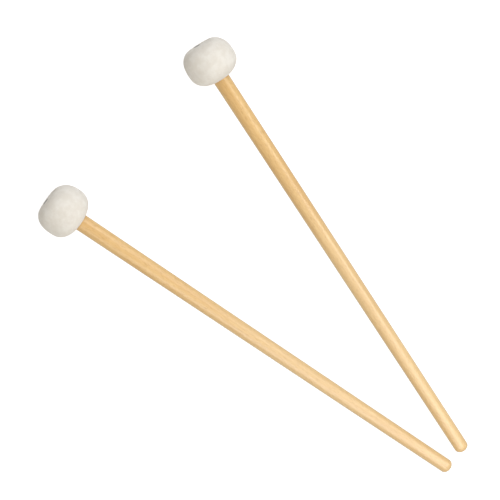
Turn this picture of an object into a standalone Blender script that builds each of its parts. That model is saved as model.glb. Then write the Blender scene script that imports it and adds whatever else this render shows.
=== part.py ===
"""A pair of timpani mallets, lying on a table with their butt ends together and their heads apart.

Each mallet is a turned wooden handle with a tenon, a wooden core glued on the tenon, a wrap of
under-felt round the core, and a thick white felt cover drawn over both. The cover's mouth is gathered
at the crown by a drawstring, and a felt cap with a small plain dot in its middle hides the gathers.

Units are metres, +Z is up. The row's origin is on the table, under the middle of the pair. +Y runs from
the butt ends to the heads. Each piece is turned about its mallet's own +Z, which runs from the tip of
the butt, at 0, to the crown.
"""

import math

import bpy
from mathutils import Matrix, Vector

# ---- Driving dimensions -----------------------------------------------------------------------------

LENGTH = 0.370  # tip of the butt to the crown
GAP = 0.0003  # left between two pieces that touch

HEAD_RADIUS = 0.0196
CROWN_RADIUS = 0.0112  # rim of the flat crown
CROWN_RISE = 0.0160  # widest part of the head up to that rim
CROWN_REACH, CROWN_POWER = 0.0179, 2.52  # superellipse of the head above its widest part
BASE_REACH, BASE_POWER = 0.0147, 2.42  # superellipse of the head below it

NECK_RADIUS = 0.00635  # handle where it enters the head
BUTT_RADIUS = 0.00526
BUTT_ROUNDING = 0.0042  # length of the rounded end
TENON_RADIUS = 0.0040
CHAMFER = 0.0005  # broken edges of the wooden pieces

COVER_WALL = 0.0035  # felt cover over the sides of the head
COVER_CROWN_WALL = 0.0050  # and over its crown, where the gathers bunch up
MOUTH_RADIUS = 0.0025  # hole left in the gathered crown
CORE_RADIUS = 0.0117
CORE_LENGTH = 0.0155
CORE_BELOW_EQUATOR = 0.0077  # widest part of the head down to the core's lower face

CAP_RADIUS = 0.0087
CAP_THICKNESS = 0.0014
CAP_DOME = 0.0004  # the cap's middle stands this far over its rim
DOT_RADIUS = 0.0026
DOT_THICKNESS = 0.0004
THREAD_RADIUS = 0.00035
THREAD_RING_RADIUS = 0.0044

SPREAD = math.radians(11.35)  # each mallet's heading away from +Y
BUTT_SPACING = 0.0169  # between the tips of the butts, across the pair
BUTT_STAGGER = 0.0023  # the right mallet lies this much further forward

# ---- Facets -----------------------------------------------------------------------------------------

SEGMENTS = 32  # round each turned piece; a multiple of 4, so that a row of corners lies lowest
HEAD_SEGMENTS = 40  # the same, round the felt cover
THREAD_SEGMENTS = 8
HEAD_STEPS = 8  # points along each quarter of the head's outline
HIDDEN_STEPS = 5  # the same, on the walls inside the head
BUTT_STEPS = 5
SHARP_ANGLE = math.radians(35)

# ---- Heights worked out from the above, along a mallet's own axis -------------------------------------

EQUATOR = LENGTH - CROWN_RISE - CAP_DOME
CROWN = EQUATOR + CROWN_RISE
SHOULDER = EQUATOR - CORE_BELOW_EQUATOR - GAP  # where the handle steps down to its tenon
CORE_BOTTOM = SHOULDER + GAP
CORE_TOP = CORE_BOTTOM + CORE_LENGTH
CAP_BOTTOM = CROWN - CAP_THICKNESS + CAP_DOME
SEAT = CAP_BOTTOM - GAP  # floor of the hollow that the cap is set in
SEAT_RADIUS = CAP_RADIUS + GAP

COLOURS = {  # base colour, roughness
    "handle_wood": ((0.83, 0.58, 0.30), 0.42),
    "core_wood": ((0.62, 0.42, 0.24), 0.65),
    "cover_felt": ((0.78, 0.75, 0.68), 0.95),
    "under_felt": ((0.52, 0.50, 0.46), 0.97),
    "thread": ((0.70, 0.67, 0.60), 0.75),
    "dot": ((0.17, 0.17, 0.17), 0.9),
}


def clear_scene():
    for obj in list(bpy.data.objects):
        bpy.data.objects.remove(obj)


def material(slot):
    colour, roughness = COLOURS[slot]
    made = bpy.data.materials.new(slot)
    made.use_nodes = True
    shader = made.node_tree.nodes["Principled BSDF"]
    shader.inputs["Base Color"].default_value = (*colour, 1)
    shader.inputs["Roughness"].default_value = roughness
    shader.inputs["Metallic"].default_value = 0
    return made


# ---- Outlines: (radius, height) points, listed down the outer side -------------------------------------


def superellipse(radius, reach, power, from_radius, to_radius, steps):
    """Points from one radius to another along (r / radius)^power + (h / reach)^power = 1."""

    def turn(r):
        return math.acos((r / radius) ** (power / 2))

    first, last = turn(from_radius), turn(to_radius)
    points = []
    for step in range(steps + 1):
        angle = first + (last - first) * step / steps
        r = radius * math.cos(angle) ** (2 / power)
        points.append((r, reach * math.sin(angle) ** (2 / power)))
    return points


def head_wall(from_radius, to_radius, side_inset=0.0, crown_inset=0.0, steps=HEAD_STEPS):
    """The head's outline, drawn in by the insets, from a radius on the crown to one on the base."""
    radius = HEAD_RADIUS - side_inset
    above = superellipse(radius, CROWN_REACH - crown_inset, CROWN_POWER, from_radius, radius, steps)
    below = superellipse(radius, BASE_REACH - side_inset, BASE_POWER, radius, to_radius, steps)
    upper = [(r, EQUATOR + h) for r, h in above]
    lower = [(r, EQUATOR - h) for r, h in below[1:]]
    return upper + lower


def handle_outline():
    top = CORE_TOP
    tenon = [
        (0, top),
        (TENON_RADIUS - CHAMFER, top),
        (TENON_RADIUS, top - CHAMFER),
        (TENON_RADIUS, SHOULDER),
        (NECK_RADIUS - CHAMFER, SHOULDER),
        (NECK_RADIUS, SHOULDER - CHAMFER),
    ]
    neck = head_wall(CROWN_RADIUS, NECK_RADIUS + GAP)[-1][1]
    rounding = []
    for step in range(BUTT_STEPS + 1):
        angle = math.pi / 2 * step / BUTT_STEPS
        rounding.append((BUTT_RADIUS * math.cos(angle), BUTT_ROUNDING * (1 - math.sin(angle))))
    rounding[-1] = (0, 0)
    return tenon + [(NECK_RADIUS, neck)] + rounding


def core_outline():
    bore = TENON_RADIUS + GAP
    return [
        (bore, CORE_TOP),
        (CORE_RADIUS - 4 * CHAMFER, CORE_TOP),
        (CORE_RADIUS - CHAMFER, CORE_TOP - CHAMFER),
        (CORE_RADIUS, CORE_TOP - 4 * CHAMFER),
        (CORE_RADIUS, CORE_BOTTOM + 4 * CHAMFER),
        (CORE_RADIUS - CHAMFER, CORE_BOTTOM + CHAMFER),
        (CORE_RADIUS - 4 * CHAMFER, CORE_BOTTOM),
        (bore, CORE_BOTTOM),
    ]


def under_felt_outline():
    """A pouch that closes over the core's top and is open round the handle."""
    opening = NECK_RADIUS + GAP
    outside = head_wall(0, opening, COVER_WALL + GAP, COVER_CROWN_WALL + GAP, HIDDEN_STEPS)
    inside_radius = CORE_RADIUS + GAP
    inside = [
        (opening, CORE_BOTTOM - GAP),
        (inside_radius, CORE_BOTTOM - GAP),
        (inside_radius, CORE_TOP + GAP),
        (0, CORE_TOP + GAP),
    ]
    return outside + inside


def cover_outline():
    """The felt cover: its outer wall, its inner wall, and the hollow for the cap with the thread's groove."""
    opening = NECK_RADIUS + GAP
    groove_half = THREAD_RADIUS + GAP
    groove_floor = SEAT - 2 * THREAD_RADIUS - GAP
    seat = [
        (MOUTH_RADIUS, SEAT),
        (THREAD_RING_RADIUS - groove_half, SEAT),
        (THREAD_RING_RADIUS - groove_half, groove_floor),
        (THREAD_RING_RADIUS + groove_half, groove_floor),
        (THREAD_RING_RADIUS + groove_half, SEAT),
        (SEAT_RADIUS, SEAT),
        (SEAT_RADIUS, CROWN),
    ]
    outer = head_wall(CROWN_RADIUS, opening)
    inner = head_wall(MOUTH_RADIUS, opening, COVER_WALL, COVER_CROWN_WALL, HIDDEN_STEPS)
    return seat + outer + inner[::-1]


def cap_outline():
    """The felt cap: a low dome with a softened rim and a shallow hollow for the dot."""
    top = CROWN + CAP_DOME
    hollow_radius = DOT_RADIUS + GAP
    hollow_floor = top - DOT_THICKNESS - GAP
    return [
        (0, hollow_floor),
        (hollow_radius, hollow_floor),
        (hollow_radius, top),
        (CAP_RADIUS * 0.7, CROWN + CAP_DOME * 0.6),
        (CAP_RADIUS - CHAMFER, CROWN),
        (CAP_RADIUS, CROWN - CHAMFER),
        (CAP_RADIUS, CAP_BOTTOM),
        (0, CAP_BOTTOM),
    ]


def dot_outline():
    top = CROWN + CAP_DOME
    return [
        (0, top),
        (DOT_RADIUS, top),
        (DOT_RADIUS, top - DOT_THICKNESS),
        (0, top - DOT_THICKNESS),
    ]


# ---- Meshes -----------------------------------------------------------------------------------------


def turned_mesh(name, outline, segments=SEGMENTS):
    """A solid of revolution about Z. An outline that doesn't start on the axis is closed into a ring."""
    edges = [(i, i + 1) for i in range(len(outline) - 1)]
    if outline[0][0] > 0:
        edges.append((len(outline) - 1, 0))
    profile = bpy.data.meshes.new(name + "_outline")
    profile.from_pydata([(r, 0, h) for r, h in outline], edges, [])
    lathe = bpy.data.objects.new(name + "_lathe", profile)
    bpy.context.scene.collection.objects.link(lathe)
    screw = lathe.modifiers.new("turn", "SCREW")
    screw.axis = "Z"
    screw.angle = 2 * math.pi
    screw.steps = screw.render_steps = segments
    screw.use_merge_vertices = True
    screw.merge_threshold = 0.00001
    mesh = bpy.data.meshes.new_from_object(lathe.evaluated_get(bpy.context.evaluated_depsgraph_get()))
    mesh.name = name
    mesh.shade_smooth()
    mesh.set_sharp_from_angle(angle=SHARP_ANGLE)
    bpy.data.objects.remove(lathe)
    bpy.data.meshes.remove(profile)
    return mesh


def drawstring_mesh():
    """The drawn-up thread, a ring that lies in its groove round the mouth."""
    bpy.ops.mesh.primitive_torus_add(
        major_radius=THREAD_RING_RADIUS,
        minor_radius=THREAD_RADIUS,
        major_segments=SEGMENTS,
        minor_segments=THREAD_SEGMENTS,
    )
    ring = bpy.context.object
    mesh = ring.data
    mesh.name = "drawstring"
    mesh.transform(Matrix.Translation((0, 0, SEAT - THREAD_RADIUS)))
    mesh.shade_smooth()
    bpy.data.objects.remove(ring)
    return mesh


def piece_meshes():
    """(piece, mesh, material slot) for one mallet."""
    return [
        ("handle", turned_mesh("handle", handle_outline()), "handle_wood"),
        ("core", turned_mesh("core", core_outline()), "core_wood"),
        ("under_felt", turned_mesh("under_felt", under_felt_outline()), "under_felt"),
        ("cover", turned_mesh("cover", cover_outline(), HEAD_SEGMENTS), "cover_felt"),
        ("drawstring", drawstring_mesh(), "thread"),
        ("crown_cap", turned_mesh("crown_cap", cap_outline()), "cover_felt"),
        ("crown_dot", turned_mesh("crown_dot", dot_outline()), "dot"),
    ]


# ---- Placing ----------------------------------------------------------------------------------------


def rest_on_table():
    """(pitch of the axis, height of the butt's tip) where the head and the butt both touch the table."""
    middle = LENGTH / 2
    points = handle_outline() + cover_outline()
    pitch = 0.0
    for _ in range(8):

        def drop(point, pitch=pitch):
            return point[0] * math.cos(pitch) - point[1] * math.sin(pitch)

        head = max((p for p in points if p[1] > middle), key=drop)
        butt = max((p for p in points if p[1] < middle), key=drop)
        pitch = math.atan2(head[0] - butt[0], head[1] - butt[1])
    return pitch, butt[0] * math.cos(pitch) - butt[1] * math.sin(pitch)


def mallet(side, across, meshes, materials, collection):
    """One mallet, parented to an empty at the tip of its butt. across is +1 on the right and -1 on the left."""
    pitch, height = rest_on_table()
    base = bpy.data.objects.new(side + "_mallet", None)
    base.location = (across * BUTT_SPACING / 2, across * BUTT_STAGGER / 2, height)
    turn = Matrix.Rotation(-across * SPREAD, 3, "Z") @ Matrix.Rotation(pitch - math.pi / 2, 3, "X")
    base.rotation_euler = turn.to_euler()
    collection.objects.link(base)
    for piece, mesh, slot in meshes:
        obj = bpy.data.objects.new(f"{side}_{piece}", mesh)
        if not mesh.materials:
            mesh.materials.append(materials[slot])
        obj.parent = base
        collection.objects.link(obj)
    return base


def centre_on_origin(bases):
    """Slides the pair along the table until the row's origin is under the middle of its box."""
    bpy.context.view_layer.update()
    corners = [
        piece.matrix_world @ vertex.co for base in bases for piece in base.children for vertex in piece.data.vertices
    ]
    low = Vector(min(c[axis] for c in corners) for axis in range(3))
    high = Vector(max(c[axis] for c in corners) for axis in range(3))
    middle = (low + high) / 2
    for base in bases:
        base.location -= Vector((middle.x, middle.y, 0))
    bpy.context.view_layer.update()


def main():
    clear_scene()
    collection = bpy.data.collections.new("timpani_mallets")
    bpy.context.scene.collection.children.link(collection)
    materials = {slot: material(slot) for slot in COLOURS}
    meshes = piece_meshes()
    bases = [
        mallet("left", -1, meshes, materials, collection),
        mallet("right", 1, meshes, materials, collection),
    ]
    centre_on_origin(bases)


main()
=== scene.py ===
"""Looks for a pair of felt-headed timpani mallets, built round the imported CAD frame.

Each mallet is made in its own axes: +X to the left across the handle, +Y upwards, and +Z along the axis
from the tip of the butt to the crown. Its sizes are measured on its CAD nodes, in metres.
"""

import math
import random
from functools import partial

import bpy
import numpy as np
from mathutils import Matrix, Vector, noise


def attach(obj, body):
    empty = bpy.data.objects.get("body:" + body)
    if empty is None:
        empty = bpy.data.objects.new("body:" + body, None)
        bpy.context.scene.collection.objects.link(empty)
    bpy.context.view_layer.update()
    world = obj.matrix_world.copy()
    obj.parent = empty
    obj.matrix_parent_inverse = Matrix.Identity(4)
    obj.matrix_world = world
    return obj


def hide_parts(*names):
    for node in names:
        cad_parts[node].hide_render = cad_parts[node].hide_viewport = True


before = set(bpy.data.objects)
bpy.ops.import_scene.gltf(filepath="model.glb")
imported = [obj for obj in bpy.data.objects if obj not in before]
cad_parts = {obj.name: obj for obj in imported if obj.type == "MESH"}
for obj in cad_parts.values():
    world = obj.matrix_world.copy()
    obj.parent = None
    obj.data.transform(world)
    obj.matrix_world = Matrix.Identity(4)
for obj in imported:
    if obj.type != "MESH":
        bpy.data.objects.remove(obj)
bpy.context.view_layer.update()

# ---- Shape of the head, as in the CAD -----------------------------------------------------------------

CROWN_REACH, CROWN_POWER = 0.0179, 2.52  # superellipse of the head above its widest part
BASE_REACH, BASE_POWER = 0.0147, 2.42  # superellipse of the head below it
COVER_WALL = 0.0035  # thickness of the felt at the side of the head,
COVER_CROWN_WALL = 0.0050  # and at the crown
MOUTH_RADIUS = 0.0025  # of the hole that the drawstring leaves in the crown
GAP = 0.0003  # between pieces that touch on the real mallet

# ---- What the CAD leaves to the looks -----------------------------------------------------------------

CROWN_LEAN = math.radians(2.1)  # the sewn crown stands higher on the left of each mallet,
CROWN_NOD = math.radians(1.0)  # and a little higher on top
MARK_SHIFT = 0.0018  # the mark is this far to the left of the cap's middle
CAP_SWELL = 0.0002  # the soft cap fills this much of the gap round it
CROWN_SOFTNESS = 0.0005  # rounding of the flat crown's rim
LIP_RADIUS = 0.0009  # rounding of the felt where the handle comes out
RIM_RADIUS = 0.0004  # rounding round the hollow for the cap
CAP_EDGE = 0.0004  # rounding of the cap's rim
DOT_EDGE = 0.0001  # rounding of the printed dot's rim
HANDLE_EDGE = 0.0005  # rounding of the handle's shoulder and tenon

LUMPS = ((0.0160, 0.00020), (0.0060, 0.00006), (0.0020, 0.00002))  # (size, height) of the felt's relief
LIP_FADE = 0.003  # the lumps fade in over this distance outside the handle's opening
FOLDS = 23  # pleats drawn in round the crown
FOLD_SEED = 23
FOLD_JITTER = 0.22  # of the spacing, either way
FOLD_DEPTH, FOLD_WIDTH = 0.00025, 0.0006
FOLDS_FROM, FOLDS_TO = 0.0095, 0.0150  # the pleats fade out between these radii
STRANDS, STRAND_TWISTS, STRAND_DEPTH = 3, 18, 0.12  # of the drawstring; the depth is a share of its radius

# Painted sheen: the wood pales towards the butt, standing in for the strip light's reflection.
PAINTED_SHEEN_FROM, PAINTED_SHEEN_TO = 0.14, 0.30  # from the butt, where the painted sheen fades out
# share of the painted sheen's pale colour at the butt
PAINTED_SHEEN_SHARE = 0.24

HEAD_SEGMENTS = 192
CAP_SEGMENTS = 96
HANDLE_SEGMENTS = 72
THREAD_SEGMENTS, THREAD_SIDES = 144, 12
HEAD_STEPS = 36  # points along each quarter of the head's outline
HIDDEN_STEPS = 10  # the same, inside the head
TAPER_STEPS = 48  # points along the handle's taper
CURVE_STEPS = 12  # points along the rounded butt and the cap's dome
ARC_STEPS = 5  # points along a small rounding
TINY = 1e-9  # a length shorter than this is nothing
SHARP_ANGLE = math.radians(40)
SEED_STEP = 0.5  # between the two mallets' places in the noise, and longer than a mallet

# ---- Camera and light ---------------------------------------------------------------------------------

CAMERA_DISTANCE = 4.0
CAMERA_LENS = 382.53
CAMERA_TILT = math.radians(6.5)  # from straight above, towards the heads
CAMERA_TURN = math.radians(-44.7)
CAMERA_AIM = Vector((0.00025, 0.0435, 0.010))

FLOOR_SIZE = 12.0
FLOOR_DROP = 0.0002  # the floor lies just under the felt's lowest lumps
FLOOR_GREY, FLOOR_GLOW = 0.55, 0.66
SKY_COLOUR, SKY_STRENGTH = (1.0, 0.985, 0.95), 0.62
SOFTBOXES = (  # name, place, aim, size, power, colour
    ("strip", (0.0, -0.60, 1.2), (0.0, -0.60, 0.0), (3.6, 0.46), 17.5, (1.0, 1.0, 1.0)),
    ("side", (2.2, 1.3, 1.9), (0.0, 0.1, 0.0), (3.6, 3.6), 57.0, (0.95, 1.0, 1.10)),
    ("fill", (-0.45, -1.00, 0.60), (0.0, -0.15, 0.0), (0.8, 0.8), 1.8, (1.0, 1.0, 1.0)),
)


def smoothstep(start, end, value):
    """A soft rise from 0 at start to 1 at end, for one value or an array of them."""
    t = np.clip((value - start) / (end - start), 0, 1)
    return t * t * (3 - 2 * t)


# ---- The CAD's measures -------------------------------------------------------------------------------


def vertices(node):
    return np.array([v.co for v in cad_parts[node].data.vertices], float)


class Mallet:
    """The axes and sizes of one mallet, read from its CAD nodes."""

    def __init__(self, side, seed):
        self.side = side
        self.body = f"{side}_mallet"
        self.seed = seed
        handle = vertices(f"{side}_handle")
        middle = handle.mean(axis=0)
        along = np.linalg.svd(handle - middle, full_matrices=False)[2][0]
        if along @ (vertices(f"{side}_cover").mean(axis=0) - middle) < 0:
            along = -along
        left = np.cross((0, 0, 1), along)
        left /= np.linalg.norm(left)
        up = np.cross(along, left)
        tip = middle + along * ((handle - middle) @ along).min()
        self.axes = np.array((left, up, along))
        self.tip = tip

        radius, height = self.turned("handle")
        self.neck_radius = radius.max()
        self.shoulder = height[radius > self.neck_radius * 0.9].max()  # the tenon is far thinner
        self.tenon_top = height.max()
        self.tenon_radius = radius[height > self.shoulder + GAP].max()
        near_butt = height < self.shoulder / 4
        self.butt_radius = radius[near_butt].max()
        self.butt_rounding = height[near_butt].max()

        radius, height = self.turned("cover")
        self.head_radius = radius.max()
        self.equator = height[radius > self.head_radius - GAP / 10].mean()
        self.crown = height.max()
        self.base = height.min()
        self.base_opening = radius[height < self.base + GAP / 10].max()

        radius, height = self.turned("crown_cap")
        self.cap_radius = radius.max()
        self.cap_bottom, self.cap_top = height.min(), height.max()

        radius, height = self.turned("crown_dot")
        self.dot_radius = radius.max()
        self.dot_bottom = height.min()

        radius, height = self.turned("drawstring")
        self.thread_radius = (height.max() - height.min()) / 2
        self.ring_radius = (radius.max() + radius.min()) / 2
        self.seat = height.max()

        radius, height = self.turned("core")
        self.core_radius = radius.max()
        self.core_bottom, self.core_top = height.min(), height.max()

    def turned(self, piece):
        """(radius, height) of each corner of a CAD node, in the mallet's axes."""
        local = (vertices(f"{self.side}_{piece}") - self.tip) @ self.axes.T
        return np.hypot(local[:, 0], local[:, 1]), local[:, 2]

    def to_row(self, points):
        return points @ self.axes + self.tip

    def lean(self, points):
        """Tilts the crown and shifts its mark, easing off to nothing at the widest part of the head."""
        ease = smoothstep(self.equator, self.crown, points[:, 2])
        rise = points[:, 0] * math.tan(CROWN_LEAN) + points[:, 1] * math.tan(CROWN_NOD)
        radius = np.hypot(points[:, 0], points[:, 1])
        to_rim = (self.cap_radius - radius) / (self.cap_radius - self.dot_radius)
        leaned = points.copy()
        leaned[:, 2] += rise * ease
        leaned[:, 0] += MARK_SHIFT * ease * np.clip(to_rim + GAP / self.dot_radius, 0, 1)
        return leaned


# ---- Outlines: (radius, height) points ----------------------------------------------------------------


def superellipse(radius, reach, power, from_radius, to_radius, steps):
    """Points from one radius to another along (r / radius)^power + (h / reach)^power = 1."""

    def turn(r):
        return math.acos((r / radius) ** (power / 2))

    first, last = turn(from_radius), turn(to_radius)
    points = []
    for step in range(steps + 1):
        angle = first + (last - first) * step / steps
        points.append((radius * math.cos(angle) ** (2 / power), reach * math.sin(angle) ** (2 / power)))
    return points


def head_wall(mallet, from_radius, to_radius, side_inset=0.0, crown_inset=0.0, steps=HEAD_STEPS):
    """The head's outline, drawn in by the insets, from a radius on the crown to one on the base."""
    radius = mallet.head_radius - side_inset
    above = superellipse(radius, CROWN_REACH - crown_inset, CROWN_POWER, from_radius, radius, steps)
    below = superellipse(radius, BASE_REACH - side_inset, BASE_POWER, radius, to_radius, steps)
    upper = [(r, mallet.equator + h) for r, h in above]
    lower = [(r, mallet.equator - h) for r, h in below[1:]]
    return upper + lower


def flattened(outline, top):
    """The outline pressed softly against a flat crown."""
    pressed = []
    for r, h in outline:
        over = (h - top) / CROWN_SOFTNESS
        drop = max(over, 0) + math.log1p(math.exp(-abs(over)))
        pressed.append((r, h - CROWN_SOFTNESS * drop))
    return pressed


def arc(centre, radius, start, end, steps=ARC_STEPS):
    """Points round a centre between two angles in degrees: 0 is outwards and 90 is along the axis."""
    angles = [math.radians(start + (end - start) * i / steps) for i in range(steps + 1)]
    return [(centre[0] + radius * math.cos(a), centre[1] + radius * math.sin(a)) for a in angles]


def straight(start, end, steps):
    """Points from start to end, without start itself."""
    return [
        (start[0] + (end[0] - start[0]) * i / steps, start[1] + (end[1] - start[1]) * i / steps)
        for i in range(1, steps + 1)
    ]


# ---- Meshes -------------------------------------------------------------------------------------------


def revolve(mallet, name, outline, segments, relief=None, leans=False):
    """A turned piece as an object in the row frame.

    relief gives how far each point stands proud. A piece of the crown leans as the crown does.
    """
    profile = np.array(outline, float)
    ahead, behind = np.roll(profile, -1, axis=0), np.roll(profile, 1, axis=0)
    open_ended = profile[0, 0] < TINY
    if open_ended:
        ahead[-1], behind[0] = profile[-1], profile[0]
    slope = ahead - behind
    normals = np.stack((-slope[:, 1], slope[:, 0]), axis=1)
    normals /= np.maximum(np.linalg.norm(normals, axis=1, keepdims=True), TINY)

    rings, points, outward = [], [], []
    for (r, h), (nr, nh) in zip(profile, normals, strict=True):
        count = 1 if r < TINY else segments
        rings.append(range(len(points), len(points) + count))
        for k in range(count):
            turn = 2 * math.pi * k / segments
            points.append((r * math.cos(turn), r * math.sin(turn), h))
            outward.append((nr * math.cos(turn), nr * math.sin(turn), nh))
    points, outward = np.array(points), np.array(outward)

    faces = []
    pairs = list(zip(rings, rings[1:]))
    if not open_ended:
        pairs.append((rings[-1], rings[0]))
    for near, far in pairs:
        for k in range(segments):
            n = (k + 1) % segments
            if len(near) == 1:
                faces.append((near[0], far[n], far[k]))
            elif len(far) == 1:
                faces.append((near[k], near[n], far[0]))
            else:
                faces.append((near[k], near[n], far[n], far[k]))

    shaped = points
    if relief is not None:
        shaped = points + outward * np.array([relief(p) for p in points])[:, None]
    if leans:
        shaped = mallet.lean(shaped)
    return piece(mallet, name, mallet.to_row(shaped), faces, points)


def piece(mallet, name, points, faces, grain):
    """A smooth object from points in the row frame, which remembers where each lies along the grain."""
    mesh = bpy.data.meshes.new(f"{mallet.side}_{name}")
    mesh.from_pydata(points.tolist(), [], faces)
    stored = mesh.attributes.new("grain", "FLOAT_VECTOR", "POINT")
    offset = np.array((0.0, 0.0, mallet.seed))
    stored.data.foreach_set("vector", (grain + offset).astype(np.float32).ravel())
    mesh.shade_smooth()
    mesh.set_sharp_from_angle(angle=SHARP_ANGLE)
    obj = bpy.data.objects.new(mesh.name, mesh)
    bpy.context.scene.collection.objects.link(obj)
    return obj


def dress(obj, mallet, node, slot, material):
    """Puts a finished piece in its CAD node's place."""
    obj.data.materials.append(material)
    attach(obj, mallet.body)
    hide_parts(f"{mallet.side}_{node}")
    return obj


# ---- Relief of the felt -------------------------------------------------------------------------------


def lumps(point, seed, share=1.0):
    """How far soft felt stands proud: low lumps from the padding, down to a fine nap."""
    at = Vector(point) + Vector((seed, 0, 0))
    return share * sum(height * noise.noise(at / size) for size, height in LUMPS)


def fold_angles():
    """Where the pleats are round the crown, not quite evenly spaced."""
    rng = random.Random(FOLD_SEED)
    step = 2 * math.pi / FOLDS
    return [step * (k + rng.uniform(-FOLD_JITTER, FOLD_JITTER)) for k in range(FOLDS)]


def pleats(point, angles, equator):
    """The creases drawn in round the crown, deepest at the cap and gone before the widest part."""
    radius = math.hypot(point[0], point[1])
    if radius > FOLDS_TO or point[2] < equator:
        return 0.0
    turn = math.atan2(point[1], point[0]) % (2 * math.pi)
    nearest = min(abs((turn - a + math.pi) % (2 * math.pi) - math.pi) for a in angles)
    crease = math.exp(-((nearest * radius / FOLD_WIDTH) ** 2))
    return -FOLD_DEPTH * crease * (1 - smoothstep(FOLDS_FROM, FOLDS_TO, radius))


# ---- The pieces ---------------------------------------------------------------------------------------


def make_handle(mallet):
    """The turned handle with its tenon, from the top of the tenon down to the rounded butt."""
    m = mallet
    edge = HANDLE_EDGE
    rounding = []
    for k in range(CURVE_STEPS + 1):
        turn = math.pi / 2 * k / CURVE_STEPS
        rounding.append((m.butt_radius * math.cos(turn), m.butt_rounding * (1 - math.sin(turn))))
    rounding[-1] = (0.0, 0.0)  # exactly on the axis
    outline = [(0.0, m.tenon_top), (m.tenon_radius - edge, m.tenon_top)]
    outline += arc((m.tenon_radius - edge, m.tenon_top - edge), edge, 90, 0)[1:]
    outline += straight((m.tenon_radius, m.tenon_top - edge), (m.tenon_radius, m.shoulder), 3)
    outline += [(m.neck_radius - edge, m.shoulder)]
    outline += arc((m.neck_radius - edge, m.shoulder - edge), edge, 90, 0)[1:]
    outline += straight((m.neck_radius, m.shoulder - edge), (m.neck_radius, m.base), 2)
    outline += straight((m.neck_radius, m.base), rounding[0], TAPER_STEPS)
    outline += rounding[1:]
    return revolve(m, "turned_handle", outline[::-1], HANDLE_SEGMENTS)


def make_cover(mallet):
    """The felt cover: hollow for the cap, outer wall, rolled lip at the handle and inner wall."""
    m = mallet
    seat_radius = m.cap_radius + GAP
    groove_half = m.thread_radius + GAP
    groove_floor = m.seat - 2 * m.thread_radius - GAP
    hollow = [
        (MOUTH_RADIUS, m.seat),
        (m.ring_radius - groove_half, m.seat),
        (m.ring_radius - groove_half, groove_floor),
        (m.ring_radius + groove_half, groove_floor),
        (m.ring_radius + groove_half, m.seat),
        (seat_radius, m.seat),
    ]
    rim = arc((seat_radius + RIM_RADIUS, m.crown - RIM_RADIUS), RIM_RADIUS, 180, 90)
    wall = flattened(head_wall(m, seat_radius + 2 * RIM_RADIUS, m.base_opening + LIP_RADIUS), m.crown)
    last = wall[-1]
    lip = arc((last[0], last[1] + LIP_RADIUS), LIP_RADIUS, 270, 180)[1:]
    inner = head_wall(m, MOUTH_RADIUS, m.base_opening, COVER_WALL, COVER_CROWN_WALL, HIDDEN_STEPS)
    outline = hollow + rim + wall + lip + inner[::-1]
    angles = fold_angles()

    def relief(point):
        radius = math.hypot(point[0], point[1])
        in_hollow = point[2] > m.seat - RIM_RADIUS and radius < seat_radius + GAP
        if in_hollow or not on_skin(m, point):
            return 0.0
        fade = smoothstep(m.base_opening, m.base_opening + LIP_FADE, radius)
        return lumps(point, m.seed) * fade + pleats(point, angles, m.equator)

    return revolve(m, "felt_cover", outline[::-1], HEAD_SEGMENTS, relief, leans=True)


def on_skin(mallet, point):
    """True on the cover's outer skin, and false on its inner wall."""
    radius = math.hypot(point[0], point[1])
    if radius > mallet.head_radius - COVER_WALL * 0.9:  # further out than the inner wall's widest part
        return True
    above = point[2] > mallet.equator
    reach, power = (CROWN_REACH, CROWN_POWER) if above else (BASE_REACH, BASE_POWER)
    skin = reach * (1 - (radius / mallet.head_radius) ** power) ** (1 / power)
    if above:
        skin = min(skin, mallet.crown - mallet.equator)
    return abs(point[2] - mallet.equator) > skin - COVER_WALL / 2


def make_under_felt(mallet):
    """The softer felt wrapped over the core."""
    m = mallet
    opening = m.base_opening
    outside_wall = head_wall(m, 0, opening, COVER_WALL + GAP, COVER_CROWN_WALL + GAP, HIDDEN_STEPS * 2)
    inside_radius = m.core_radius + GAP
    inside = [
        (opening, m.core_bottom - GAP),
        (inside_radius, m.core_bottom - GAP),
        (inside_radius, m.core_top + GAP),
        (0.0, m.core_top + GAP),
    ]
    outline = outside_wall + inside

    def relief(point):
        radius = math.hypot(point[0], point[1])
        if radius <= inside_radius + GAP and m.core_bottom - 2 * GAP < point[2] < m.core_top + 2 * GAP:
            return 0.0
        return -abs(lumps(point, m.seed, 0.5))

    return revolve(m, "wrapped_under_felt", outline[::-1], HANDLE_SEGMENTS, relief)


def make_cap(mallet):
    """The felt disc set in the crown: a low dome with a soft rim and a hollow for the dot."""
    m = mallet
    hollow_radius = m.dot_radius + GAP / 4
    hollow_floor = m.dot_bottom - GAP
    swollen = m.cap_radius + CAP_SWELL
    first, last = hollow_radius + RIM_RADIUS / 2, swollen - CAP_EDGE
    dome = []
    for k in range(CURVE_STEPS + 1):
        r = first + (last - first) * k / CURVE_STEPS
        fall = (r / m.cap_radius) ** 2
        dome.append((r, m.cap_top - (m.cap_top - m.crown) * fall))
    outline = [(0.0, hollow_floor), (hollow_radius, hollow_floor)]
    outline += [(hollow_radius, m.cap_top - RIM_RADIUS / 2)] + dome
    outline += arc((last, dome[-1][1] - CAP_EDGE), CAP_EDGE, 90, 0)[1:]
    outline += [(swollen, m.cap_bottom + GAP), (swollen - GAP, m.cap_bottom), (0.0, m.cap_bottom)]

    def relief(point):
        radius = math.hypot(point[0], point[1])
        if point[2] < m.crown - CAP_EDGE / 2 or radius < hollow_radius:
            return 0.0
        return lumps(point, m.seed + 1, 0.6)

    return revolve(m, "felt_cap", outline[::-1], CAP_SEGMENTS, relief, leans=True)


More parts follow.
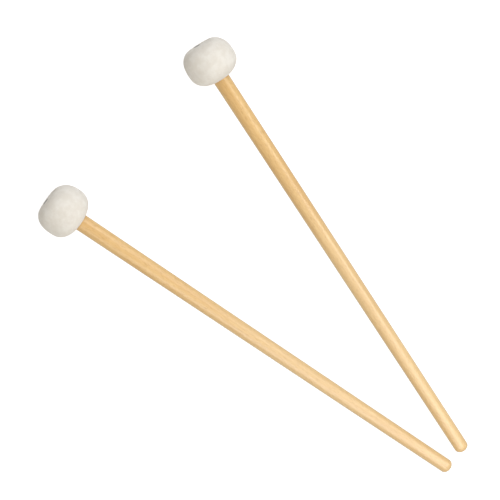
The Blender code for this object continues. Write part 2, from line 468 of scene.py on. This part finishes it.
def make_dot(mallet):
    """The plain dark grey disc in the middle of the cap."""
    m = mallet
    edge = DOT_EDGE
    outline = [(0.0, m.cap_top)]
    outline += straight((0.0, m.cap_top), (m.dot_radius - edge, m.cap_top), 4)
    outline += arc((m.dot_radius - edge, m.cap_top - edge), edge, 90, 0, 3)[1:]
    outline += [(m.dot_radius, m.dot_bottom), (0.0, m.dot_bottom)]
    return revolve(m, "dark_dot", outline[::-1], HANDLE_SEGMENTS, leans=True)


def make_thread(mallet):
    """The drawn-up thread: a ring with the ridges of its twisted strands."""
    m = mallet
    around, across = THREAD_SEGMENTS, THREAD_SIDES
    middle = m.seat - m.thread_radius
    points, faces = [], []
    for k in range(around):
        turn = 2 * math.pi * k / around
        for j in range(across):
            a = 2 * math.pi * j / across
            ridge = math.cos(STRANDS * a + STRAND_TWISTS * turn)
            r = m.thread_radius * (1 - STRAND_DEPTH + STRAND_DEPTH * ridge)
            out = m.ring_radius + r * math.cos(a)
            points.append((out * math.cos(turn), out * math.sin(turn), middle + r * math.sin(a)))
            k2, j2 = (k + 1) % around, (j + 1) % across
            faces.append((k * across + j, k2 * across + j, k2 * across + j2, k * across + j2))
    local = np.array(points)
    return piece(m, "twisted_thread", m.to_row(m.lean(local)), faces, local)


# ---- Materials ----------------------------------------------------------------------------------------


def plug(tree, target, value):
    """Gives an input a plain value, or a socket to link from."""
    if isinstance(value, bpy.types.NodeSocket):
        tree.links.new(value, target)
    else:
        target.default_value = value


def node(tree, kind, inputs=None, **settings):
    """A shader node with its settings and its inputs."""
    made = tree.nodes.new("ShaderNode" + kind)
    for key, value in settings.items():
        setattr(made, key, value)
    for key, value in (inputs or {}).items():
        plug(tree, made.inputs[key], value)
    return made


def new_material(name):
    """A material, and its node tree."""
    material = bpy.data.materials.new(name)
    material.use_nodes = True
    return material, material.node_tree


def finish_surface(tree, **inputs):
    """Gives the Principled shader its inputs, named as in the interface but with _ for each space."""
    shader = tree.nodes["Principled BSDF"]
    for key, value in inputs.items():
        plug(tree, shader.inputs[key.replace("_", " ")], value)


def grain_place(tree):
    """Where each point lies in its mallet, as piece() stored it."""
    return node(tree, "Attribute", attribute_name="grain").outputs["Vector"]


def stretched_noise(tree, place, sizes, detail=2.0, roughness=0.5, distortion=0.0):
    """Noise whose lumps have the given sizes in metres along X, Y and Z."""
    scaled = node(tree, "Mapping", {"Vector": place, "Scale": [1 / s for s in sizes]})
    settings = {"Vector": scaled.outputs[0], "Scale": 1.0, "Detail": detail, "Roughness": roughness}
    return node(tree, "TexNoise", {**settings, "Distortion": distortion}).outputs["Fac"]


def ramp(tree, value, low, high, start=0.0, end=1.0):
    """value from low to high, turned into start to end."""
    limits = {"Value": value, "From Min": low, "From Max": high, "To Min": start, "To Max": end}
    return node(tree, "MapRange", limits, interpolation_type="SMOOTHSTEP").outputs["Result"]


def mixed(tree, share, first, second):
    """A colour between two colours."""
    made = node(tree, "Mix", data_type="RGBA")
    for socket, value in zip(("Factor_Float", "A_Color", "B_Color"), (share, first, second), strict=True):
        plug(tree, next(i for i in made.inputs if i.identifier == socket), value)
    return next(o for o in made.outputs if o.identifier == "Result_Color")


def rgb(red, green, blue):
    return (red, green, blue, 1.0)


def felt(name, light, shade, nap=1.0):
    """Pressed wool felt: soft mottling, a tangle of short fibres, and a sheen at grazing angles."""
    material, tree = new_material(name)
    place = grain_place(tree)
    mottle = stretched_noise(tree, place, (0.006, 0.006, 0.006), detail=3, roughness=0.6)
    tangle = stretched_noise(
        tree, place, (0.0008, 0.0008, 0.0008), detail=6, roughness=0.75, distortion=2.2
    )
    fuzz = stretched_noise(tree, place, (0.00022, 0.00022, 0.00022), detail=3, roughness=0.7)
    soft = mixed(tree, ramp(tree, mottle, 0.32, 0.68), light, shade)
    colour = mixed(tree, ramp(tree, tangle, 0.35, 0.75, 0.0, 0.35), soft, shade)
    height = node(tree, "Math", {0: tangle, 1: fuzz}, operation="ADD").outputs[0]
    bump = node(tree, "Bump", {"Strength": 0.55, "Distance": 0.00045 * nap, "Height": height})
    finish_surface(tree, Base_Color=colour, Normal=bump.outputs[0], Roughness=0.95, Specular_IOR_Level=0.2)
    finish_surface(tree, Sheen_Weight=0.25, Sheen_Roughness=0.6)
    return material


def lacquered_wood():
    """Beech under satin lacquer: bands, fine fibres, short darker flecks and a painted sheen at the butt.
    """
    material, tree = new_material("lacquered_beech")
    place = grain_place(tree)
    bands = stretched_noise(tree, place, (0.0030, 0.0060, 0.110), detail=3, roughness=0.6, distortion=0.4)
    fibres = stretched_noise(tree, place, (0.00035, 0.00035, 0.014), detail=3, roughness=0.6)
    mottle = stretched_noise(tree, place, (0.0020, 0.0020, 0.0050), detail=3, roughness=0.6)
    flecks = stretched_noise(tree, place, (0.0006, 0.0006, 0.0036), detail=1)
    pale, tan, fleck = rgb(0.715, 0.475, 0.195), rgb(0.60, 0.355, 0.118), rgb(0.43, 0.23, 0.065)
    colour = mixed(tree, ramp(tree, bands, 0.30, 0.72), pale, tan)
    colour = mixed(tree, ramp(tree, fibres, 0.35, 0.75, 0.0, 0.30), colour, tan)
    colour = mixed(tree, ramp(tree, mottle, 0.35, 0.70, 0.0, 0.45), colour, tan)
    colour = mixed(tree, ramp(tree, flecks, 0.56, 0.70, 0.0, 0.40), colour, fleck)
    # painted sheen: paler towards the butt, standing in for the strip light's reflection in the lacquer
    along = node(tree, "SeparateXYZ", {"Vector": place}).outputs["Z"]
    from_butt = node(tree, "Math", {0: along, 1: SEED_STEP}, operation="MODULO").outputs[0]
    painted_sheen = ramp(tree, from_butt, PAINTED_SHEEN_FROM, PAINTED_SHEEN_TO, PAINTED_SHEEN_SHARE, 0.0)
    colour = mixed(tree, painted_sheen, colour, rgb(0.72, 0.59, 0.38))
    bump = node(tree, "Bump", {"Strength": 0.08, "Distance": 0.0001, "Height": fibres})
    satin = ramp(tree, fibres, 0.2, 0.8, 0.42, 0.52)
    finish_surface(tree, Base_Color=colour, Normal=bump.outputs[0], Roughness=satin, Specular_IOR_Level=0.1)
    finish_surface(tree, Coat_Weight=1.0, Coat_IOR=1.65, Coat_Roughness=0.27)
    return material


def core_wood():
    """The plain turned core, in the row frame's own coordinates."""
    material, tree = new_material("turned_core_wood")
    place = node(tree, "TexCoord").outputs["Object"]
    rings = stretched_noise(tree, place, (0.0012, 0.020, 0.0012), detail=3, roughness=0.6)
    colour = mixed(tree, ramp(tree, rings, 0.3, 0.7), rgb(0.70, 0.49, 0.27), rgb(0.50, 0.31, 0.15))
    finish_surface(tree, Base_Color=colour, Roughness=0.65)
    return material


def thread_cotton():
    """Pale waxed thread."""
    material, tree = new_material("waxed_thread")
    fibres = stretched_noise(tree, grain_place(tree), (0.0003, 0.0003, 0.0003), detail=2)
    colour = mixed(tree, fibres, rgb(0.78, 0.75, 0.68), rgb(0.60, 0.56, 0.48))
    finish_surface(tree, Base_Color=colour, Roughness=0.75)
    return material


def dark_disc_grey():
    """A dull dark grey on the felt, a little worn."""
    material, tree = new_material("dark_disc_grey")
    wear = stretched_noise(tree, grain_place(tree), (0.0005, 0.0005, 0.0005), detail=3, roughness=0.6)
    colour = mixed(tree, ramp(tree, wear, 0.3, 0.75), rgb(0.14, 0.145, 0.155), rgb(0.24, 0.24, 0.245))
    bump = node(tree, "Bump", {"Strength": 0.2, "Distance": 0.0001, "Height": wear})
    finish_surface(tree, Base_Color=colour, Normal=bump.outputs[0], Roughness=0.8)
    return material


# ---- Studio -------------------------------------------------------------------------------------------


def add_floor():
    """A sheet lit from below, as on a light table, so that it stays white round the mallets."""
    half = FLOOR_SIZE / 2
    mesh = bpy.data.meshes.new("floor")
    corners = [(-half, -half, 0), (half, -half, 0), (half, half, 0), (-half, half, 0)]
    mesh.from_pydata(corners, [], [(0, 1, 2, 3)])
    floor = bpy.data.objects.new("floor", mesh)
    floor.location.z = -FLOOR_DROP
    bpy.context.scene.collection.objects.link(floor)
    material, tree = new_material("floor_lightbox")
    grey = rgb(FLOOR_GREY, FLOOR_GREY, FLOOR_GREY)
    finish_surface(tree, Base_Color=grey, Roughness=1.0, Specular_IOR_Level=0.0)
    finish_surface(tree, Emission_Color=rgb(1.0, 1.0, 1.0), Emission_Strength=FLOOR_GLOW)
    mesh.materials.append(material)
    floor.visible_diffuse = floor.visible_glossy = False  # so that its white doesn't flood the undersides


def add_softbox(name, place, aim, size, power, colour):
    """A rectangular light, facing its aim, that the camera can't see."""
    data = bpy.data.lights.new(name, "AREA")
    data.color = colour
    data.shape = "RECTANGLE"
    data.size, data.size_y = size
    data.energy = power
    light = bpy.data.objects.new(name, data)
    light.location = place
    light.rotation_euler = (Vector(aim) - Vector(place)).to_track_quat("-Z", "Y").to_euler()
    light.visible_camera = False
    bpy.context.scene.collection.objects.link(light)


def add_light():
    """The softboxes, and a pale sky all round."""
    for softbox in SOFTBOXES:
        add_softbox(*softbox)
    world = bpy.data.worlds.new("studio")
    world.use_nodes = True
    background = world.node_tree.nodes["Background"]
    background.inputs["Color"].default_value = rgb(*SKY_COLOUR)
    background.inputs["Strength"].default_value = SKY_STRENGTH
    bpy.context.scene.world = world
    bpy.context.scene.view_settings.view_transform = "Standard"
    bpy.context.scene.view_settings.look = "None"


def add_camera():
    """The camera at the photo's angle."""
    data = bpy.data.cameras.new("camera")
    data.lens = CAMERA_LENS
    data.sensor_width = 36.0
    data.clip_end = 100.0
    camera = bpy.data.objects.new("camera", data)
    aim = Matrix.Rotation(-CAMERA_TILT, 3, "X") @ Matrix.Rotation(CAMERA_TURN, 3, "Z")
    camera.location = CAMERA_AIM + aim @ Vector((0, 0, CAMERA_DISTANCE))
    camera.rotation_euler = aim.to_euler()
    bpy.context.scene.collection.objects.link(camera)
    bpy.context.scene.camera = camera


# ---- Everything together ------------------------------------------------------------------------------


def build(mallet, materials):
    """All the new pieces of one mallet, and its CAD core's material."""
    put = partial(dress, mallet=mallet)
    put(make_handle(mallet), node="handle", slot="handle_wood", material=materials["handle"])
    cover = put(make_cover(mallet), node="cover", slot="cover_felt", material=materials["cover"])
    padding = make_under_felt(mallet)
    put(padding, node="under_felt", slot="under_felt", material=materials["padding"])
    put(make_cap(mallet), node="crown_cap", slot="cover_felt", material=materials["cap"])
    put(make_dot(mallet), node="crown_dot", slot="dot", material=materials["dot"])
    put(make_thread(mallet), node="drawstring", slot="thread", material=materials["thread"])
    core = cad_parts[f"{mallet.side}_core"]
    core.data.materials.clear()
    core.data.materials.append(materials["core"])


def main():
    add_camera()
    add_light()
    add_floor()
    materials = {
        "handle": lacquered_wood(),
        "cover": felt("white_felt", rgb(0.755, 0.715, 0.645), rgb(0.69, 0.64, 0.56)),
        "cap": felt("white_cap_felt", rgb(0.745, 0.705, 0.635), rgb(0.68, 0.63, 0.55)),
        "padding": felt("grey_under_felt", rgb(0.55, 0.53, 0.49), rgb(0.45, 0.43, 0.39), nap=2.0),
        "dot": dark_disc_grey(),
        "thread": thread_cotton(),
        "core": core_wood(),
    }
    for side, seed in (("left", 0.0), ("right", SEED_STEP)):
        build(Mallet(side, seed), materials)


main()
